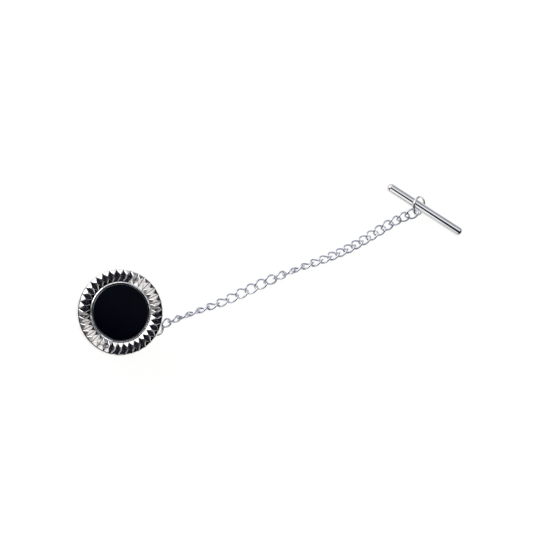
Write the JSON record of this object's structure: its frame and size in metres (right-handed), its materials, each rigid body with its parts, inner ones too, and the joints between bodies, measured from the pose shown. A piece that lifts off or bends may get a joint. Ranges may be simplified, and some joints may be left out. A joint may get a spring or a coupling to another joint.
{
  "type": "tie tack",
  "caption": "Round tie tack: fluted chrome head with a black inlay on a pin, a ball-lock clutch behind it, and a curb chain ending in a T-bar.",
  "frame": {"origin": "on the pin's axis at the back of the clutch's pull knob, which is what the tack stands on", "axes": "+Z along the pin to the head's face, +X along the surface towards the side the chain leaves to, +Y across it"},
  "size_m": [0.0709, 0.0307, 0.0096],
  "materials": {
    "chrome": "polished plate",
    "brass": "turned and polished",
    "steel": "spring wire and balls",
    "black_inlay": "polished, black"
  },
  "bodies": {
    "clutch": {"front_plate": "chrome", "clutch_shell": "chrome", "taper_seat": "brass", "ear": "chrome", "clutch_spring": "steel"},
    "head": {"bezel": "chrome", "inlay": "black_inlay", "back_plate": "chrome", "post": "brass"},
    "plunger": {"ball_cage": "brass", "pull_knob": "chrome"},
    "ball_1": {"lock_ball_1": "steel"},
    "ball_2": {"lock_ball_2": "steel"},
    "ball_3": {"lock_ball_3": "steel"},
    "jump_ring": {"jump_ring": "chrome"},
    "link_01": {"link_01": "chrome"},
    "link_02": {"link_02": "chrome"},
    "link_03": {"link_03": "chrome"},
    "link_04": {"link_04": "chrome"},
    "link_05": {"link_05": "chrome"},
    "link_06": {"link_06": "chrome"},
    "link_07": {"link_07": "chrome"},
    "link_08": {"link_08": "chrome"},
    "link_09": {"link_09": "chrome"},
    "link_10": {"link_10": "chrome"},
    "link_11": {"link_11": "chrome"},
    "link_12": {"link_12": "chrome"},
    "link_13": {"link_13": "chrome"},
    "link_14": {"link_14": "chrome"},
    "link_15": {"link_15": "chrome"},
    "link_16": {"link_16": "chrome"},
    "link_17": {"link_17": "chrome"},
    "link_18": {"link_18": "chrome"},
    "link_19": {"link_19": "chrome"},
    "link_20": {"link_20": "chrome"},
    "link_21": {"link_21": "chrome"},
    "link_22": {"link_22": "chrome"},
    "link_23": {"link_23": "chrome"},
    "link_24": {"link_24": "chrome"},
    "link_25": {"link_25": "chrome"},
    "link_26": {"link_26": "chrome"},
    "link_27": {"link_27": "chrome"},
    "link_28": {"link_28": "chrome"},
    "link_29": {"link_29": "chrome"},
    "t_bar": {"t_bar": "chrome", "bar_ring": "chrome", "bar_braze": "chrome"}
  },
  "joints": [
    {"name": "head_lift", "type": "slide", "parent": "clutch", "child": "head", "axis": [0, 0, 1], "range_m": [0, 0.012]},
    {"name": "knob_pull", "type": "slide", "parent": "clutch", "child": "plunger", "axis": [0, 0, -1], "range_m": [0, 0.0008], "stiffness_N_per_m": 200, "deforming": ["clutch_spring"]},
    {"name": "ball_1_release", "type": "slide", "parent": "plunger", "child": "ball_1", "axis": [0.866, 0.5, 0], "range_m": [0, 0.00016]},
    {"name": "ball_2_release", "type": "slide", "parent": "plunger", "child": "ball_2", "axis": [-0.866, 0.5, 0], "range_m": [0, 0.00016]},
    {"name": "ball_3_release", "type": "slide", "parent": "plunger", "child": "ball_3", "axis": [0, -1, 0], "range_m": [0, 0.00016]},
    {"name": "jump_ring_swing", "type": "hinge", "parent": "clutch", "child": "jump_ring", "pos_m": [0.00647, -0.0021, 0.0025], "axis": [0.309, 0.9511, 0], "range_deg": [-60, 45]},
    {"name": "link_01_swing", "type": "hinge", "parent": "jump_ring", "child": "link_01", "pos_m": [0.00798, -0.00203, 0.00213], "axis": [-0.1464, -0.0591, -0.9875], "range_deg": [-40, 40]},
    {"name": "link_02_swing", "type": "hinge", "parent": "link_01", "child": "link_02", "pos_m": [0.0101, -0.00118, 0.00176], "axis": [-0.3746, 0.9272, 0], "range_deg": [-40, 40]},
    {"name": "link_03_swing", "type": "hinge", "parent": "link_02", "child": "link_03", "pos_m": [0.01147, -0.00068, 0.0015], "axis": [0.3228, -0.5812, 0.747], "range_deg": [-40, 40]},
    {"name": "link_04_swing", "type": "hinge", "parent": "link_03", "child": "link_04", "pos_m": [0.01363, 0.00009, 0.00117], "axis": [0.1672, -0.7419, -0.6494], "range_deg": [-40, 40]},
    {"name": "link_05_swing", "type": "hinge", "parent": "link_04", "child": "link_05", "pos_m": [0.01502, 0.00058, 0.00113], "axis": [-0.3018, 0.8025, -0.5146], "range_deg": [-40, 40]},
    {"name": "link_06_swing", "type": "hinge", "parent": "link_05", "child": "link_06", "pos_m": [0.01721, 0.00135, 0.00104], "axis": [-0.1378, 0.4974, 0.8565], "range_deg": [-40, 40]},
    {"name": "link_07_swing", "type": "hinge", "parent": "link_06", "child": "link_07", "pos_m": [0.0186, 0.00181, 0.00098], "axis": [0.3764, -0.9238, 0.0697], "range_deg": [-40, 40]},
    {"name": "link_08_swing", "type": "hinge", "parent": "link_07", "child": "link_08", "pos_m": [0.02075, 0.00268, 0.00088], "axis": [-0.013, -0.0805, -0.9967], "range_deg": [-40, 40]},
    {"name": "link_09_swing", "type": "hinge", "parent": "link_08", "child": "link_09", "pos_m": [0.02207, 0.00331, 0.00082], "axis": [-0.3582, 0.8245, 0.438], "range_deg": [-40, 40]},
    {"name": "link_10_swing", "type": "hinge", "parent": "link_09", "child": "link_10", "pos_m": [0.02418, 0.00428, 0.00072], "axis": [0.2175, -0.3825, 0.898], "range_deg": [-40, 40]},
    {"name": "link_11_swing", "type": "hinge", "parent": "link_10", "child": "link_11", "pos_m": [0.0255, 0.00487, 0.00064], "axis": [0.2762, -0.5358, -0.7979], "range_deg": [-40, 40]},
    {"name": "link_12_swing", "type": "hinge", "parent": "link_11", "child": "link_12", "pos_m": [0.02761, 0.00582, 0.00074], "axis": [-0.3012, 0.7401, -0.6013], "range_deg": [-40, 40]},
    {"name": "link_13_swing", "type": "hinge", "parent": "link_12", "child": "link_13", "pos_m": [0.02885, 0.00634, 0.00093], "axis": [-0.0116, -0.1734, 0.9848], "range_deg": [-40, 40]},
    {"name": "link_14_swing", "type": "hinge", "parent": "link_13", "child": "link_14", "pos_m": [0.03099, 0.00721, 0.00111], "axis": [0.3811, -0.9113, -0.156], "range_deg": [-40, 40]},
    {"name": "link_15_swing", "type": "hinge", "parent": "link_14", "child": "link_15", "pos_m": [0.03222, 0.00768, 0.00109], "axis": [-0.2811, 0.7586, -0.5878], "range_deg": [-40, 40]},
    {"name": "link_16_swing", "type": "hinge", "parent": "link_15", "child": "link_16", "pos_m": [0.0344, 0.00849, 0.00109], "axis": [-0.2042, 0.5512, 0.809], "range_deg": [-40, 40]},
    {"name": "link_17_swing", "type": "hinge", "parent": "link_16", "child": "link_17", "pos_m": [0.0356, 0.00891, 0.00106], "axis": [0.3227, -0.9271, 0.1908], "range_deg": [-40, 40]},
    {"name": "link_18_swing", "type": "hinge", "parent": "link_17", "child": "link_18", "pos_m": [0.03779, 0.00967, 0.00102], "axis": [0.0462, -0.1859, -0.9815], "range_deg": [-40, 40]},
    {"name": "link_19_swing", "type": "hinge", "parent": "link_18", "child": "link_19", "pos_m": [0.03877, 0.01004, 0.001], "axis": [-0.38, 0.925, 0], "range_deg": [-40, 40]},
    {"name": "link_20_swing", "type": "hinge", "parent": "link_19", "child": "link_20", "pos_m": [0.04091, 0.01092, 0.00097], "axis": [0.0142, 0.0058, 0.9999], "range_deg": [-40, 40]},
    {"name": "link_21_swing", "type": "hinge", "parent": "link_20", "child": "link_21", "pos_m": [0.04169, 0.01126, 0.00095], "axis": [0.441, -0.8938, -0.0814], "range_deg": [-40, 40]},
    {"name": "link_22_swing", "type": "hinge", "parent": "link_21", "child": "link_22", "pos_m": [0.04377, 0.01229, 0.00092], "axis": [-0.0502, 0.0659, -0.9966], "range_deg": [-40, 40]},
    {"name": "link_23_swing", "type": "hinge", "parent": "link_22", "child": "link_23", "pos_m": [0.04453, 0.0127, 0.00092], "axis": [-0.4825, 0.8315, 0.2752], "range_deg": [-40, 40]},
    {"name": "link_24_swing", "type": "hinge", "parent": "link_23", "child": "link_24", "pos_m": [0.04652, 0.0139, 0.00079], "axis": [0.1857, -0.21, 0.9599], "range_deg": [-40, 40]},
    {"name": "link_25_swing", "type": "hinge", "parent": "link_24", "child": "link_25", "pos_m": [0.04728, 0.01435, 0.00073], "axis": [0.3756, -0.6413, -0.6691], "range_deg": [-40, 40]},
    {"name": "link_26_swing", "type": "hinge", "parent": "link_25", "child": "link_26", "pos_m": [0.04926, 0.01555, 0.0007], "axis": [-0.3525, 0.5688, -0.7431], "range_deg": [-40, 40]},
    {"name": "link_27_swing", "type": "hinge", "parent": "link_26", "child": "link_27", "pos_m": [0.05003, 0.01604, 0.00083], "axis": [-0.173, 0.126, 0.9768], "range_deg": [-40, 40]},
    {"name": "link_28_swing", "type": "hinge", "parent": "link_27", "child": "link_28", "pos_m": [0.05208, 0.01708, 0.00106], "axis": [0.4289, -0.8832, 0.1899], "range_deg": [-24, 28]},
    {"name": "link_29_swing", "type": "hinge", "parent": "link_28", "child": "link_29", "pos_m": [0.05293, 0.01743, 0.00125], "axis": [0.4203, -0.3732, -0.8271], "range_deg": [-18, 18]},
    {"name": "t_bar_swing", "type": "hinge", "parent": "link_29", "child": "t_bar", "pos_m": [0.05455, 0.01796, 0.00184], "axis": [0.5314, -0.5423, -0.6507], "range_deg": [-45, 60]}
  ],
  "couplings": [
    {"joint": "ball_1_release", "follows": "knob_pull", "ratio": 0.2},
    {"joint": "ball_2_release", "follows": "knob_pull", "ratio": 0.2},
    {"joint": "ball_3_release", "follows": "knob_pull", "ratio": 0.2}
  ]
}
